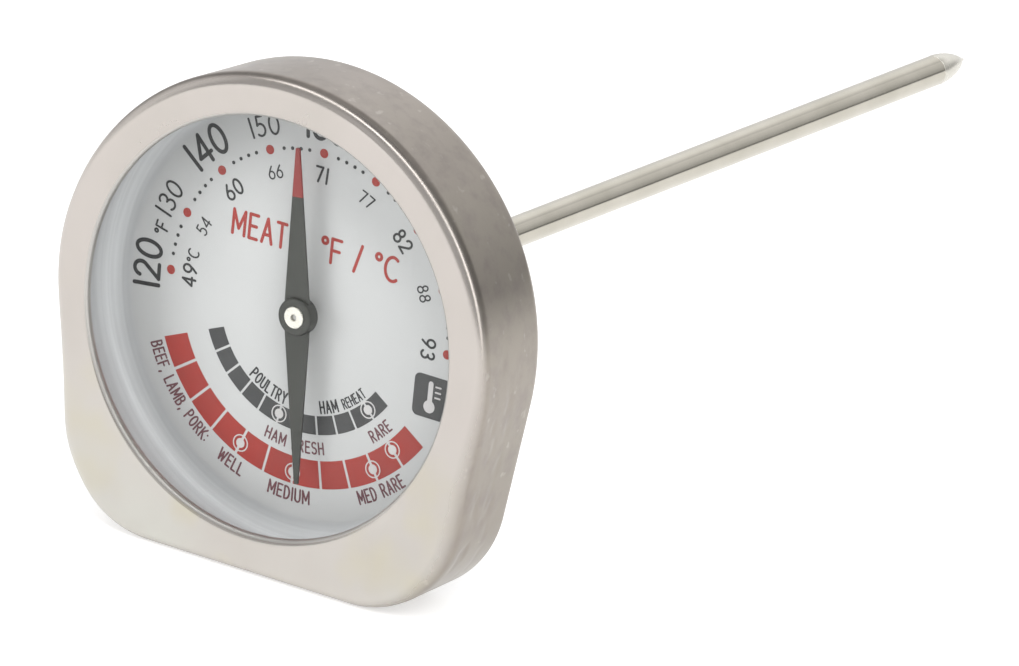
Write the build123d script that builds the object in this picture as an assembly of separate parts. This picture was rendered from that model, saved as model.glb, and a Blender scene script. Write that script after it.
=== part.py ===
from build123d import *
import math
import os

# Dial meat thermometer: a case that stands on its flat foot edge, and a horizontal stem.
# Frame: origin on the stem axis where the bare stem leaves the ferrule.
# +Y runs along the stem to its point, the dial faces -Y, +Z is up. Millimetres.

# ---- driving dimensions -------------------------------------------------------------------
WINDOW_R = 26.6           # opening of the front face
CASE_R_FRONT = 32.1       # top arc of the case, at the face
CASE_R_BACK = 31.4        # top arc of the case, at its rear edge
FOOT_DROP = 32.2          # stem axis to the flat foot edge
FOOT_GROUND = 0.03        # sheet taken off when the foot is ground flat
SIDE_SLOPE = 8.3          # the sides lean in towards the foot, degrees
CORNER_R = 14.6           # rounded corners beside the foot
SHEET = 0.6               # stainless sheet of the case
STEM_R = 2.0
STEM_LENGTH = 138.7       # origin to the point
TIP_LENGTH = 7.3
TIP_BLUNT = 0.3           # radius left at the point
DEGREES_PER_F = 2.25      # pointer travel for one degree Fahrenheit
REST_READING_F = 157.3    # where the pointer stands at rest
MIDDLE_READING_F = 160.0  # the reading at twelve o'clock

# ---- depths behind the window lip ---------------------------------------------------------
LIP_TO_ORIGIN = 21.0
FACE = -0.7
CASE_END = 13.4
LIP_END = 0.3
LENS_FRONT = 0.35
LENS_BACK = 2.35
BUSHING_FRONT = 5.45
HUB_FRONT = 5.55
BLADE_FRONT = 6.15
BLADE_BACK = 6.5
HUB_BACK = 7.4
BUSHING_BACK = 8.2
DIAL_FRONT = 8.8
DIAL_BACK = 9.3
TUBE_END = 10.2
COVER_RIM_FRONT = 11.8
COVER_RIM_BACK = 12.4
COVER_BOSS_FRONT = 13.2
COVER_BOSS_BACK = 13.8
WASHER_BACK = 14.3
FLANGE_BACK = 15.3
FERRULE_END = 20.5        # just short of the bare stem
SLEEVE_FRONT = 106.0
COIL_START = 109.0
COIL_END = 144.0

# ---- radii and fits -----------------------------------------------------------------------
FACE_ROUND = 1.8
REAR_ROUND = 1.4
REAR_LIP = 2.4
LENS_R = 30.9
DIAL_WALL_R = 30.15
DIAL_RIM_R = 31.1
NECK_R = 2.85
SPINDLE_R = 0.4
RUNNING_GAP = 0.05
SEAT_R = 1.8              # the tube's end is reduced where the ferrule holds it
BORE_R = 1.55             # inside of the stem tube
HUB_R = 2.4
BUSHING_R = 1.4
POINTER_REACH = 21.4
POINTER_ROOT_W = 3.9      # blade width, as if it ran to the axis
POINTER_END_W = 0.6
COIL_R = 1.25
STRIP_THICK = 0.2
STRIP_WIDE = 1.3
COIL_PITCH = 2.0
SPIGOT_R = 1.14           # the coil's end turns sit on spigots of this size
SPIGOT_LENGTH = 1.8
SLEEVE_R = 1.3


def at(depth):
    """Y in the part's frame of a depth behind the window lip."""
    return depth - LIP_TO_ORIGIN


def turned(points, rounds=None):
    """Solid of revolution about the stem axis from (radius, depth) corners.

    rounds gives a fillet radius for chosen corners, by their place in the list."""
    corners = [Vector(radius, at(depth)) for radius, depth in points]
    profile = make_face(Polyline(corners, close=True).edges())
    for index, size in (rounds or {}).items():
        vertex = profile.vertices().sort_by_distance(corners[index])[0]
        profile = fillet(vertex, size)
    return revolve(profile, Axis.Y)


def case_outline(top_r, inset=0.0):
    """Face of the case's outline: round top, leaning sides, flat foot, rounded corners."""
    radius = top_r - inset
    foot = -(FOOT_DROP - inset)
    slope = math.radians(SIDE_SLOPE)
    side_x = radius * math.cos(slope)
    side_z = -radius * math.sin(slope)
    corner_x = side_x - (side_z - foot) * math.tan(slope)
    top = ThreePointArc((side_x, side_z), (0, radius), (-side_x, side_z))
    rest = Polyline((-side_x, side_z), (-corner_x, foot), (corner_x, foot), (side_x, side_z))
    outline = make_face(Wire(top.edges() + rest.edges()))
    return fillet(outline.vertices().sort_by(Axis.Y)[:2], CORNER_R - inset)


def outline_at(depth, inset=0.0):
    """The case's outline at a depth, on the straight taper from face to rear edge."""
    share = (depth - FACE) / (CASE_END - FACE)
    top_r = CASE_R_FRONT + share * (CASE_R_BACK - CASE_R_FRONT)
    return Plane.XZ.offset(-at(depth)) * case_outline(top_r, inset)


def case_block(start, end, inset=0.0):
    """Tapered block between two depths, with the case's outline less an inset."""
    return loft([outline_at(start, inset), outline_at(end, inset)], ruled=True)


def edges_at(solid, depth):
    """The solid's edges that lie in one plane across the stem."""
    return solid.edges().filter_by_position(Axis.Y, at(depth) - 0.01, at(depth) + 0.01)


def disc(radius, start, end):
    """Plain cylinder on the stem axis."""
    return turned([(0, start), (radius, start), (radius, end), (0, end)])


# ---- the case -----------------------------------------------------------------------------
def make_front_bezel():
    """Drawn shell: face, rolled window lip, side wall and rear edge turned in over the cover."""
    shell = case_block(FACE, CASE_END, -FOOT_GROUND)
    shell = fillet(edges_at(shell, FACE), FACE_ROUND)
    shell = fillet(edges_at(shell, CASE_END), REAR_ROUND)
    inside_front = FACE + SHEET
    inside_back = CASE_END - SHEET
    cavity = case_block(inside_front, inside_back, SHEET)
    cavity = fillet(edges_at(cavity, inside_front), FACE_ROUND - SHEET)
    cavity = fillet(edges_at(cavity, inside_back), REAR_ROUND - SHEET)
    rear_opening = case_block(inside_back - 0.2, CASE_END + 0.2, REAR_LIP)
    window_cut = WINDOW_R + 1.4
    shell = shell - cavity - rear_opening - disc(window_cut, FACE - 1, inside_front)
    lip = turned(
        [
            (WINDOW_R, FACE),
            (WINDOW_R, LIP_END),
            (WINDOW_R + SHEET, LIP_END),
            (WINDOW_R + SHEET, inside_front),
            (window_cut, inside_front),
            (window_cut, FACE),
        ],
        {0: 0.68, 3: 0.1},
    )
    ground_off = Pos(0, at(CASE_END / 2), -FOOT_DROP - 5) * Box(100, 100, 10)
    return shell + lip - ground_off


def make_back_cover():
    """Pressed plate with a raised middle that carries the stem."""
    plate = case_block(COVER_RIM_FRONT, COVER_RIM_BACK, SHEET + 0.15)
    step_r = 23.0
    boss_r = 20.6
    boss = turned(
        [
            (NECK_R, COVER_BOSS_FRONT),
            (boss_r - SHEET, COVER_BOSS_FRONT),
            (boss_r + 0.5 - SHEET / 2, COVER_RIM_FRONT),
            (step_r, COVER_RIM_FRONT),
            (step_r, COVER_RIM_BACK),
            (boss_r + 0.5, COVER_RIM_BACK),
            (boss_r, COVER_BOSS_BACK),
            (NECK_R, COVER_BOSS_BACK),
        ],
        {1: 0.3, 2: 0.8, 5: 0.4, 6: 0.7},
    )
    return plate - disc(step_r, COVER_RIM_FRONT - 1, COVER_RIM_BACK + 1) + boss


def make_case_seal():
    """Flat rubber ring between the cover's rim and the turned-in rear edge."""
    rear = CASE_END - SHEET
    ring = case_block(COVER_RIM_BACK, rear, REAR_ROUND)
    return ring - case_block(COVER_RIM_BACK - 1, rear + 1, REAR_LIP + 0.6)


# ---- lens and dial ------------------------------------------------------------------------
def make_lens():
    """Flat glass disc with broken edges."""
    corners = [(0, LENS_FRONT), (LENS_R, LENS_FRONT), (LENS_R, LENS_BACK), (0, LENS_BACK)]
    return turned(corners, {1: 0.2, 2: 0.2})


def make_lens_gasket():
    """Rubber ring between the glass and the inside of the face."""
    inner = WINDOW_R + SHEET + 0.15
    outer = 30.2
    front = FACE + SHEET
    return turned([(inner, front), (outer, front), (outer, LENS_FRONT), (inner, LENS_FRONT)])


def make_dial():
    """Dished cup: flat printed floor, rounded wall, and a rim that bears on the glass."""
    sheet = DIAL_BACK - DIAL_FRONT
    wall_top = DIAL_WALL_R + 0.2
    return turned(
        [
            (1.2, DIAL_FRONT),
            (DIAL_WALL_R, DIAL_FRONT),
            (wall_top, LENS_BACK),
            (DIAL_RIM_R, LENS_BACK),
            (DIAL_RIM_R, LENS_BACK + sheet),
            (wall_top + sheet, LENS_BACK + sheet),
            (DIAL_WALL_R + sheet, DIAL_BACK),
            (1.2, DIAL_BACK),
        ],
        {1: 3.8, 2: 0.35, 6: 4.3},
    )


def make_dial_spacer():
    """Moulded ring with a foot, between the dial and the back cover."""
    wall = 1.2
    inner = 22.6
    outer = 25.6
    return turned(
        [
            (outer - wall, DIAL_BACK),
            (outer, DIAL_BACK),
            (outer, COVER_RIM_FRONT),
            (inner, COVER_RIM_FRONT),
            (inner, COVER_RIM_FRONT - 0.8),
            (outer - wall, COVER_RIM_FRONT - 0.8),
        ],
        {5: 0.4},
    )


# ---- the parts that turn ------------------------------------------------------------------
def make_pointer():
    """Double-ended tapering blade with a thick round hub, turned to the rest reading."""
    root = POINTER_ROOT_W / 2
    end = POINTER_END_W / 2
    reach = POINTER_REACH
    blade_line = Polyline(
        (end, reach), (root, 0), (end, -reach), (-end, -reach), (-root, 0), (-end, reach), close=True
    )
    blade = extrude(
        Plane.XZ.offset(-at(BLADE_BACK)) * make_face(blade_line.edges()), BLADE_BACK - BLADE_FRONT
    )
    hub = turned(
        [
            (0, HUB_FRONT),
            (HUB_R, HUB_FRONT),
            (HUB_R, HUB_BACK),
            (0, HUB_BACK),
        ],
        {1: 0.25, 2: 0.15},
    )
    pointer = blade + hub - disc(BUSHING_R, HUB_FRONT - 1, HUB_BACK + 1)
    turn = (REST_READING_F - MIDDLE_READING_F) * DEGREES_PER_F
    return Rot(0, turn, 0) * pointer


def make_pointer_bushing():
    """Bright tube staked through the pointer's hub, pressed on the spindle."""
    return turned(
        [
            (SPINDLE_R, BUSHING_FRONT),
            (BUSHING_R, BUSHING_FRONT),
            (BUSHING_R, BUSHING_BACK),
            (SPINDLE_R, BUSHING_BACK),
        ],
        {0: 0.1, 1: 0.12},
    )


def make_spindle():
    """Straight wire from the pointer, down the stem, into its sleeve."""
    front = BUSHING_FRONT + 0.35
    back = COIL_START + SPIGOT_LENGTH
    corners = [(0, front), (SPINDLE_R, front), (SPINDLE_R, back), (0, back)]
    return turned(corners, {1: 0.08, 2: 0.08})


def make_spindle_sleeve():
    """Crimp sleeve on the spindle's end, with a spigot for the coil's first turn."""
    return turned(
        [
            (SPINDLE_R, SLEEVE_FRONT),
            (SLEEVE_R, SLEEVE_FRONT),
            (SLEEVE_R, COIL_START),
            (SPIGOT_R, COIL_START),
            (SPIGOT_R, COIL_START + SPIGOT_LENGTH),
            (SPINDLE_R, COIL_START + SPIGOT_LENGTH),
        ],
        {1: 0.15},
    )


# ---- the stem -----------------------------------------------------------------------------
def make_bimetal_coil():
    """Helical strip: its first turn is welded on the sleeve, its last on the anchor."""
    start = COIL_START + STRIP_WIDE / 2
    height = COIL_END - COIL_START - STRIP_WIDE
    centre = Vector(0, at(start), 0)
    path = Edge.make_helix(COIL_PITCH, height, COIL_R, centre, (0, 1, 0))
    across = Plane(origin=path @ 0, z_dir=path % 0, x_dir=(path @ 0) - centre)
    return sweep(across * Rectangle(STRIP_THICK, STRIP_WIDE), path, is_frenet=True)


def make_coil_anchor():
    """Plug staked in the tube, with a spigot for the coil's last turn."""
    back = COIL_END + 2.5
    return turned(
        [
            (0, COIL_END - SPIGOT_LENGTH),
            (SPIGOT_R, COIL_END - SPIGOT_LENGTH),
            (SPIGOT_R, COIL_END),
            (BORE_R, COIL_END),
            (BORE_R, back),
            (0, back),
        ]
    )


def make_guide(start, end, flange=0.0):
    """Bearing bush in the stem's bore, with an optional flange at its front end."""
    bore = SPINDLE_R + RUNNING_GAP
    if not flange:
        return turned([(bore, start), (BORE_R, start), (BORE_R, end), (bore, end)])
    return turned(
        [
            (bore, start - flange),
            (STEM_R, start - flange),
            (STEM_R, start),
            (BORE_R, start),
            (BORE_R, end),
            (bore, end),
        ]
    )


def tip_shoulder():
    """Depth at which the tube ends and the point begins."""
    return LIP_TO_ORIGIN + STEM_LENGTH - TIP_LENGTH


def make_stem_tube():
    """Drawn tube from inside the case to the point, reduced inside the ferrule."""
    end = tip_shoulder()
    return turned(
        [
            (BORE_R, TUBE_END),
            (SEAT_R, TUBE_END),
            (SEAT_R, LIP_TO_ORIGIN),
            (STEM_R, LIP_TO_ORIGIN),
            (STEM_R, end),
            (BORE_R, end),
        ]
    )


def make_stem_tip():
    """Rounded point with a spigot that closes the tube."""
    start = at(tip_shoulder())
    spigot = 4.0
    side = ThreePointArc(
        (STEM_R, start),
        (STEM_R * 0.68, start + TIP_LENGTH * 0.52),
        (TIP_BLUNT, STEM_LENGTH - TIP_BLUNT / 2),
    )
    rest = Polyline(
        (TIP_BLUNT, STEM_LENGTH - TIP_BLUNT / 2),
        (0, STEM_LENGTH),
        (0, start - spigot),
        (BORE_R, start - spigot),
        (BORE_R, start),
        (STEM_R, start),
    )
    return revolve(make_face(side.edges() + rest.edges()), Axis.Y)


def make_stem_ferrule():
    """Flanged collar: threaded neck through the cover, boss around the stem."""
    return turned(
        [
            (SEAT_R, TUBE_END),
            (NECK_R, TUBE_END),
            (NECK_R, WASHER_BACK),
            (6.8, WASHER_BACK),
            (6.8, FLANGE_BACK),
            (4.0, FLANGE_BACK),
            (2.9, FERRULE_END),
            (SEAT_R, FERRULE_END),
        ],
        {3: 0.2, 4: 0.4, 5: 1.0, 6: 0.5},
    )


def make_stem_washer():
    """Sealing washer between the ferrule's flange and the cover."""
    front = COVER_BOSS_BACK
    return turned([(NECK_R, front), (6.2, front), (6.2, WASHER_BACK), (NECK_R, WASHER_BACK)])


def make_lock_nut():
    """Thin hexagon nut on the ferrule's neck, inside the case."""
    front = COVER_BOSS_FRONT - 1.8
    hexagon = Plane.XZ.offset(-at(COVER_BOSS_FRONT)) * RegularPolygon(4.6, 6, major_radius=False)
    nut = extrude(hexagon, COVER_BOSS_FRONT - front)
    return nut - disc(NECK_R, front - 1, COVER_BOSS_FRONT + 1)


# ---- files --------------------------------------------------------------------------------
MAKERS = {
    "front_bezel": make_front_bezel,
    "back_cover": make_back_cover,
    "case_seal": make_case_seal,
    "lens": make_lens,
    "lens_gasket": make_lens_gasket,
    "dial": make_dial,
    "dial_spacer": make_dial_spacer,
    "pointer": make_pointer,
    "pointer_bushing": make_pointer_bushing,
    "spindle": make_spindle,
    "spindle_sleeve": make_spindle_sleeve,
    "bimetal_coil": make_bimetal_coil,
    "coil_anchor": make_coil_anchor,
    "upper_guide": lambda: make_guide(TUBE_END, TUBE_END + 5, flange=0.6),
    "lower_guide": lambda: make_guide(SLEEVE_FRONT - 5, SLEEVE_FRONT - 1),
    "stem_tube": make_stem_tube,
    "stem_tip": make_stem_tip,
    "stem_ferrule": make_stem_ferrule,
    "stem_washer": make_stem_washer,
    "lock_nut": make_lock_nut,
}

os.makedirs("parts", exist_ok=True)
for node, maker in MAKERS.items():
    export_step(maker(), f"parts/{node}.step")
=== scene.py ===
import math

import bmesh
import bpy
import numpy as np
from mathutils import Matrix, Vector, noise


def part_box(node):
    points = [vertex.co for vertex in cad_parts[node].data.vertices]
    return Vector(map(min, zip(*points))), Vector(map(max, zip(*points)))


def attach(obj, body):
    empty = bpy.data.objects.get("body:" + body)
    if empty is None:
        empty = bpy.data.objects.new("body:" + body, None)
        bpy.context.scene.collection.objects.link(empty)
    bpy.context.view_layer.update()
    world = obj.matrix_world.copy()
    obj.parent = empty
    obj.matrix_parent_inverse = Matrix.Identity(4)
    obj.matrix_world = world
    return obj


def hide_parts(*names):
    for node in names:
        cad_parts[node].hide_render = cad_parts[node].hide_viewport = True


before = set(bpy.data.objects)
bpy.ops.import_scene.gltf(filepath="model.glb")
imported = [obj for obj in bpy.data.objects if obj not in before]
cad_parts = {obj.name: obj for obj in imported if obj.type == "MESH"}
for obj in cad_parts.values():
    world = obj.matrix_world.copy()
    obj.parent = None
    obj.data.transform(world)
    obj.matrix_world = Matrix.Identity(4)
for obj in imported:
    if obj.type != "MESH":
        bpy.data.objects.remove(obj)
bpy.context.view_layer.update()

# The meat thermometer's looks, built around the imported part. The frame is in metres; the sizes
# below are millimetres, and depths run back from the plane of the window's lip.
MM = 0.001

# ---- driving sizes ------------------------------------------------------------------------
WINDOW_R = 26.7
CASE_R_FRONT = 32.1       # the case's round top, at its front edge
CASE_R_BACK = 31.4        # and at its rear edge
SIDE_SLOPE = math.radians(8.3)
CORNER_R = 14.6
SHEET = 0.6
FACE_ROUND = 1.8          # front edge's fillet at the top
LOW_ROUND = 3.3           # the same fillet beside the lower corners
FOOT_ROUND = 2.4          # and along the foot
REAR_ROUND = 1.4
REAR_LIP = 2.4            # how far the rear edge is rolled in
LIP_ROLL = 1.0            # how far from the window the face starts to roll in
LIP_FALL = 0.62           # and how deep it rolls
LIP_WALL = 0.1            # depth where the window's straight wall starts
LIP_END = 0.3             # and where it ends
FACE_TO_LIP = 0.7
DENT_DEPTH = 0.19

FACE_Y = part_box("front_bezel")[0].y / MM
REAR_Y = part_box("front_bezel")[1].y / MM
FOOT_DROP = -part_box("front_bezel")[0].z / MM
LIP_Y = FACE_Y + FACE_TO_LIP
FACE = FACE_Y - LIP_Y
CASE_END = REAR_Y - LIP_Y


def depth_of(y):
    """Depth behind the lip plane, in millimetres, of a place in the frame, in metres."""
    return y / MM - LIP_Y


DIAL_SHEET = 0.5
DIAL_HOLE_R = 1.2
DIAL_WALL_R = 30.15       # the cup's wall at the floor; it opens a little towards the rim
DIAL_FLARE = 0.2
DIAL_FRONT = depth_of(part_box("dial")[1].y) - DIAL_SHEET
DIAL_RIM = depth_of(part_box("dial")[0].y)
DIAL_RIM_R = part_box("dial")[1].x / MM
LENS_FRONT = depth_of(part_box("lens")[0].y)
LENS_BACK = depth_of(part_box("lens")[1].y)
LENS_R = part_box("lens")[1].x / MM
LENS_BEVEL = 0.25

HUB_R = 2.4
HUB_BORE_R = 1.4
HUB_FRONT = depth_of(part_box("pointer")[0].y)
HUB_BACK = depth_of(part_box("pointer")[1].y)
BLADE_FRONT = HUB_FRONT + 0.6
BLADE_BACK = BLADE_FRONT + 0.35
BLADE_START = 1.8         # where the arms leave the hub
BLADE_REACH = 21.4
BLADE_ROOT = 1.95         # half of the arms' width, carried on to the axis
BLADE_END = 0.3           # and half of their width at the tips
BLADE_SOFT = 0.07         # softened edges
RED_FROM = 15.2

STEM_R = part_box("stem_tube")[1].x / MM
STEM_BORE_R = 1.55
STEM_SEAT_R = 1.8         # the tube's end inside the ferrule
STEM_BARE = depth_of(0)   # where the bare stem leaves the ferrule
STEM_FRONT = depth_of(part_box("stem_tube")[0].y)
STEM_SHOULDER = depth_of(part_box("stem_tube")[1].y)
STEM_POINT = depth_of(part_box("stem_tip")[1].y)
TIP_PLUG = 4.0            # how far the point's plug reaches into the tube

# ---- printing on the dial -----------------------------------------------------------------
INK = 0.02                # thickness of the printing
INK_LIFT = 0.026          # light ink lies on top of the dark
INK_GAP = 0.004           # between the dial and the printing
INK_LAYER = 0.0006        # crossing strokes differ this much in height
INK_LAYERS = 7            # heights taken in turn
DOT_R = 20.62             # ring of the scale's dots
SMALL_DOTS = (0.264, 0.421, 0.579, 0.736)     # places of the small dots between two large ones
DEGREES_PER_F = 2.25
REST_READING_F = 157.3
RED_BAND = (18.85, 22.4)
DARK_BAND = (13.15, 15.54)
BAND_ENDS = (-157.5, -33.75)
BAND_CELLS = 11


# ---- mesh helpers -------------------------------------------------------------------------
def link(name, points, faces, mats, body, replaces=(), face_mats=None, sharp=32):
    """Mesh object from (x, depth, z) points in millimetres, riding on a body."""
    co = np.asarray(points, float)
    place = np.column_stack([co[:, 0], co[:, 1] + LIP_Y, co[:, 2]]) * MM
    mesh = bpy.data.meshes.new(name)
    mesh.from_pydata(place.tolist(), [], [list(f) for f in faces])
    mesh.validate()
    for mat in mats:
        mesh.materials.append(mat)
    if face_mats is not None:
        mesh.polygons.foreach_set("material_index", np.asarray(face_mats, np.int32))
    mesh.shade_smooth()
    if sharp:
        mesh.set_sharp_from_angle(angle=math.radians(sharp))
    obj = bpy.data.objects.new(name, mesh)
    bpy.context.scene.collection.objects.link(obj)
    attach(obj, body)
    if replaces:
        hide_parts(*replaces)
    return obj


def rounded(corners, steps=8, hold=0.04):
    """Polyline through (radius, depth, fillet) corners, with arcs at the fillets.

    A point close to each arc's ends on the flats keeps their shading flat."""
    out = []
    count = len(corners)
    for i, (r, d, fillet) in enumerate(corners):
        here = np.array([r, d], float)
        if not fillet:
            out.append(tuple(here))
            continue
        before = np.array(corners[(i - 1) % count][:2], float) - here
        after = np.array(corners[(i + 1) % count][:2], float) - here
        before /= np.linalg.norm(before)
        after /= np.linalg.norm(after)
        half = math.acos(np.clip(before @ after, -1, 1)) / 2
        reach = fillet / math.tan(half)
        centre = here + (before + after) / np.linalg.norm(before + after) * fillet / math.sin(half)
        start = here + before * reach - centre
        end = here + after * reach - centre
        turn = math.atan2(start[0] * end[1] - start[1] * end[0], start @ end)
        out.append(tuple(here + before * (reach + hold)))
        for k in range(steps + 1):
            c, s = math.cos(turn * k / steps), math.sin(turn * k / steps)
            spoke = np.array([c * start[0] - s * start[1], s * start[0] + c * start[1]])
            out.append(tuple(centre + spoke))
        out.append(tuple(here + after * (reach + hold)))
    return out


def lathe(profile, steps=256, closed=True):
    """Points and quads of a profile of (radius, depth) turned about the stem axis."""
    points, rings = [], []
    for r, d in profile:
        if r < 1e-6:
            rings.append([len(points)] * steps)
            points.append((0, d, 0))
        else:
            first = len(points)
            rings.append(list(range(first, first + steps)))
            for k in range(steps):
                a = 2 * math.pi * k / steps
                points.append((r * math.cos(a), d, r * math.sin(a)))
    faces = []
    after = rings[1:] + rings[:1] if closed else rings[1:]
    for low, high in zip(rings, after):
        for k in range(steps):
            n = (k + 1) % steps
            faces.append(list(dict.fromkeys([low[k], low[n], high[n], high[k]])))
    return points, faces


def outward(obj):
    """Turns a closed mesh's faces to point outwards."""
    bm = bmesh.new()
    bm.from_mesh(obj.data)
    bmesh.ops.recalc_face_normals(bm, faces=bm.faces)
    bm.to_mesh(obj.data)
    bm.free()
    return obj


# ---- materials ----------------------------------------------------------------------------
class Nodes:
    """Small helper to lay out the nodes of a material or a world.

    A source is a socket, a number or a colour; a method that makes a value returns its socket."""

    def __init__(self, owner, output="ShaderNodeOutputMaterial"):
        self.owner = owner
        owner.use_nodes = True
        self.tree = owner.node_tree
        self.tree.nodes.clear()
        self.out = self.add(output)

    def add(self, kind, **settings):
        node = self.tree.nodes.new(kind)
        for key, value in settings.items():
            setattr(node, key, value)
        return node

    def feed(self, socket, source):
        """Links a source socket, or sets a plain number or colour."""
        if isinstance(source, tuple):
            socket.default_value = (*source, 1)
        elif isinstance(source, (int, float)):
            socket.default_value = source
        else:
            self.tree.links.new(source, socket)

    def place(self):
        return self.add("ShaderNodeTexCoord").outputs

    def axes(self, vector):
        node = self.add("ShaderNodeSeparateXYZ")
        self.feed(node.inputs[0], vector)
        return node.outputs

    def coords(self, scale):
        mapping = self.add("ShaderNodeMapping")
        mapping.inputs["Scale"].default_value = scale
        self.feed(mapping.inputs["Vector"], self.place()["Object"])
        return mapping.outputs["Vector"]

    def maths(self, operation, *values):
        node = self.add("ShaderNodeMath", operation=operation)
        for socket, value in zip(node.inputs, values):
            self.feed(socket, value)
        return node.outputs[0]

    def noise(self, scale, detail=4.0, rough=0.5):
        """Noise over the object, with so many cells a metre along each axis."""
        if not isinstance(scale, tuple):
            scale = (scale, scale, scale)
        tex = self.add("ShaderNodeTexNoise")
        self.feed(tex.inputs["Scale"], 1.0)
        self.feed(tex.inputs["Detail"], detail)
        self.feed(tex.inputs["Roughness"], rough)
        self.feed(tex.inputs["Vector"], self.coords(scale))
        return tex.outputs["Fac"]

    def span(self, value, low, high, from_low=0.3, from_high=0.7, smooth_step=False):
        """Value going from low to high as the source goes between two limits."""
        node = self.add("ShaderNodeMapRange")
        if smooth_step:
            node.interpolation_type = "SMOOTHSTEP"
        self.feed(node.inputs["From Min"], from_low)
        self.feed(node.inputs["From Max"], from_high)
        self.feed(node.inputs["To Min"], low)
        self.feed(node.inputs["To Max"], high)
        self.feed(node.inputs["Value"], value)
        return node.outputs["Result"]

    def blend(self, share, a, b):
        """Colour a where the share is 0 and colour b where it is 1."""
        mix = self.add("ShaderNodeMix", data_type="RGBA")
        self.feed(mix.inputs["Factor"], share)
        self.feed(mix.inputs[6], a)
        self.feed(mix.inputs[7], b)
        return mix.outputs[2]

    def bump(self, value, distance, below=None):
        node = self.add("ShaderNodeBump")
        self.feed(node.inputs["Distance"], distance)
        self.feed(node.inputs["Strength"], 1.0)
        self.feed(node.inputs["Height"], value)
        if below is not None:
            self.feed(node.inputs["Normal"], below)
        return node.outputs["Normal"]

    def shade(self, colour, rough, metallic=0.0, normal=None):
        """Closes the material with a Principled shader, and returns the shader's node."""
        node = self.add("ShaderNodeBsdfPrincipled")
        self.feed(node.inputs["Base Color"], colour)
        self.feed(node.inputs["Roughness"], rough)
        self.feed(node.inputs["Metallic"], metallic)
        if normal is not None:
            self.feed(node.inputs["Normal"], normal)
        self.feed(self.out.inputs["Surface"], node.outputs["BSDF"])
        return node


def new_material(name):
    return Nodes(bpy.data.materials.new(name))


def steel(name, light, dark, rough, lines, cloud=90):
    """Satin steel: drawn lines along one axis, cloudy patches and fine scratches.

    lines and cloud say how many cells a metre the lines and patches have."""
    n = new_material(name)
    streaks = n.noise(lines, 6, 0.6)
    patches = n.noise(cloud, 3)
    scratches = n.noise(2600, 2)
    tone = n.blend(n.span(patches, 0, 1), dark, light)
    colour = n.blend(n.span(streaks, 0, 0.35), tone, dark)
    normal = n.bump(streaks, 2e-6)
    normal = n.bump(scratches, 0.8e-6, below=normal)
    n.shade(colour, n.span(streaks, *rough), 1.0, normal)
    return n.owner


# colours of the case's steel; the wall's are darker partly as painted shade, and its bright specks are
# painted glints
FACE_ROSY = (0.512, 0.473, 0.443)
FACE_GREENISH = (0.541, 0.538, 0.495)
FACE_DULL = (0.476, 0.444, 0.409)
FACE_STRAW = (0.520, 0.486, 0.394)
WALL_ROSY = (0.357, 0.316, 0.289)
WALL_WARM = (0.347, 0.317, 0.275)
WALL_LOW = (0.313, 0.284, 0.243)
WALL_MARKED = (0.306, 0.273, 0.249)
# bright specks: painted glints of the dented wall
WALL_PAINTED_GLINT = (0.58, 0.54, 0.50)


def case_steel():
    """Pressed and polished sheet: a bright cloudy face and a duller marked wall, blended at the edge;
    the wall's darker colours are partly painted shade, and its bright specks are painted glints.
    """
    n = new_material("case_steel")
    height = n.axes(n.place()["Object"])["Z"]
    aim = n.axes(n.place()["Normal"])["Y"]
    clouds = n.noise(34, 2)
    patches = n.noise((75, 75, 55), 5, 0.6)
    marks = n.noise((520, 420, 330), 5, 0.62)
    painted_glints = n.noise((700, 560, 560), 2)
    grain = n.noise(2400, 3, 0.6)
    tint = n.noise((105, 60, 85), 2, 0.45)

    # the face turns from rosy to greenish towards the foot, with dull and straw-coloured patches
    greenish = n.span(clouds, 0.35, 1, 0.35, 0.6)
    greenish = n.maths("MULTIPLY", greenish, n.span(height, 1, 0, -0.031, -0.004))
    straw = n.span(tint, 0, 0.75, 0.50, 0.66)
    straw = n.maths("MULTIPLY", straw, n.span(height, 1, 0, -0.018, 0.004))
    face = n.blend(greenish, FACE_ROSY, FACE_GREENISH)
    face = n.blend(n.span(patches, 0, 0.7, 0.45, 0.75), face, FACE_DULL)
    face = n.blend(straw, face, FACE_STRAW)

    # the wall is darker, partly as painted shade for the dimmer reflection the side picks up, yellower
    # at the foot, and darker in marked patches; its bright specks are painted glints
    wall = n.blend(n.span(clouds, 0, 1), WALL_ROSY, WALL_WARM)
    wall = n.blend(n.span(height, 0.8, 0, -0.03, -0.002), wall, WALL_LOW)
    wall = n.blend(n.span(marks, 0, 0.9, 0.46, 0.68), wall, WALL_MARKED)
    # bright specks painted on as glints where the dented wall catches the light
    wall = n.blend(n.span(painted_glints, 0, 0.35, 0.66, 0.74), wall, WALL_PAINTED_GLINT)

    # the face's colour where the sheet looks forward, elsewhere the darker wall colour, which is partly
    # painted shade
    facing = n.span(aim, 1, 0, -0.9, -0.3)
    rough = n.maths("MULTIPLY_ADD", facing, -0.10, n.span(patches, 0.27, 0.38))
    normal = n.bump(grain, 1.2e-6)
    normal = n.bump(marks, 1.0e-5, below=normal)
    normal = n.bump(patches, 2.5e-5, below=normal)
    n.shade(n.blend(facing, wall, face), rough, 1.0, normal)
    return n.owner


def plain(name, light, dark, rough, depth=4e-6):
    """Moulded or painted finish: slight mottle in colour and roughness, and a fine grain."""
    n = new_material(name)
    mottle = n.noise(900, 4, 0.55)
    patches = n.noise(75, 3)
    colour = n.blend(n.span(patches, 0, 1), dark, light)
    n.shade(colour, n.span(mottle, *rough), 0.0, n.bump(mottle, depth))
    return n.owner


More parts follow.
